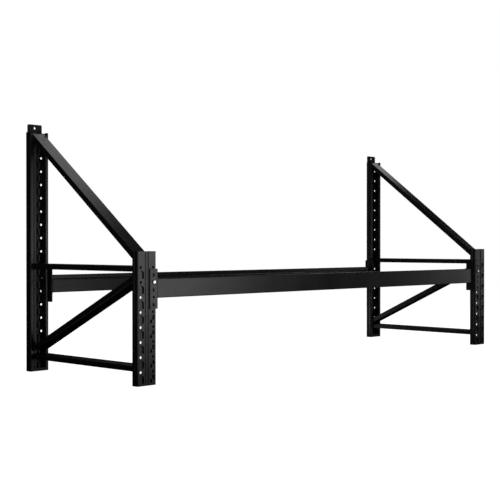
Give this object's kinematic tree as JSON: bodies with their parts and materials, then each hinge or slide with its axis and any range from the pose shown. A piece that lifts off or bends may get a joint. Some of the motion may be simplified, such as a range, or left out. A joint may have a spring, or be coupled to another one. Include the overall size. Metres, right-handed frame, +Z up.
{
  "type": "tyre storage rack",
  "caption": "Free-standing steel rack for a row of tyres: two triangular end frames of slotted posts joined by two hooked step beams, with wall tabs at the top.",
  "frame": {"origin": "middle of the footprint, on the floor", "axes": "+X along the beams, +Y towards the wall behind the rack, +Z up"},
  "size_m": [2.14, 0.66, 0.921],
  "materials": {
    "powder_coat": "black powder coat, satin, fine orange peel",
    "zinc": "bright zinc plate",
    "foot_plastic": "moulded black plastic"
  },
  "bodies": {
    "frame": {"front_beam": "powder_coat", "front_beam_ledge": "powder_coat", "front_beam_left_connector": "powder_coat", "front_beam_right_connector": "powder_coat", "left_diagonal_brace": "powder_coat", "left_front_foot_cap": "foot_plastic", "left_front_post": "powder_coat", "left_lower_brace": "powder_coat", "left_rear_foot_cap": "foot_plastic", "left_rear_post": "powder_coat", "left_slope_brace": "powder_coat", "left_upper_brace": "powder_coat", "left_wall_tab": "powder_coat", "rear_beam": "powder_coat", "rear_beam_ledge": "powder_coat", "rear_beam_left_connector": "powder_coat", "rear_beam_right_connector": "powder_coat", "right_diagonal_brace": "powder_coat", "right_front_foot_cap": "foot_plastic", "right_front_post": "powder_coat", "right_lower_brace": "powder_coat", "right_rear_foot_cap": "foot_plastic", "right_rear_post": "powder_coat", "right_slope_brace": "powder_coat", "right_upper_brace": "powder_coat", "right_wall_tab": "powder_coat"},
    "left_front_lock_pin": {"left_front_lock_pin": "zinc"},
    "left_rear_lock_pin": {"left_rear_lock_pin": "zinc"},
    "right_front_lock_pin": {"right_front_lock_pin": "zinc"},
    "right_rear_lock_pin": {"right_rear_lock_pin": "zinc"}
  },
  "joints": [
    {"name": "left_front_pin_pull", "type": "slide", "parent": "frame", "child": "left_front_lock_pin", "axis": [0, -1, 0], "range_m": [0, 0.013]},
    {"name": "left_rear_pin_pull", "type": "slide", "parent": "frame", "child": "left_rear_lock_pin", "axis": [0, 1, 0], "range_m": [0, 0.013]},
    {"name": "right_front_pin_pull", "type": "slide", "parent": "frame", "child": "right_front_lock_pin", "axis": [0, -1, 0], "range_m": [0, 0.013]},
    {"name": "right_rear_pin_pull", "type": "slide", "parent": "frame", "child": "right_rear_lock_pin", "axis": [0, 1, 0], "range_m": [0, 0.013]}
  ]
}
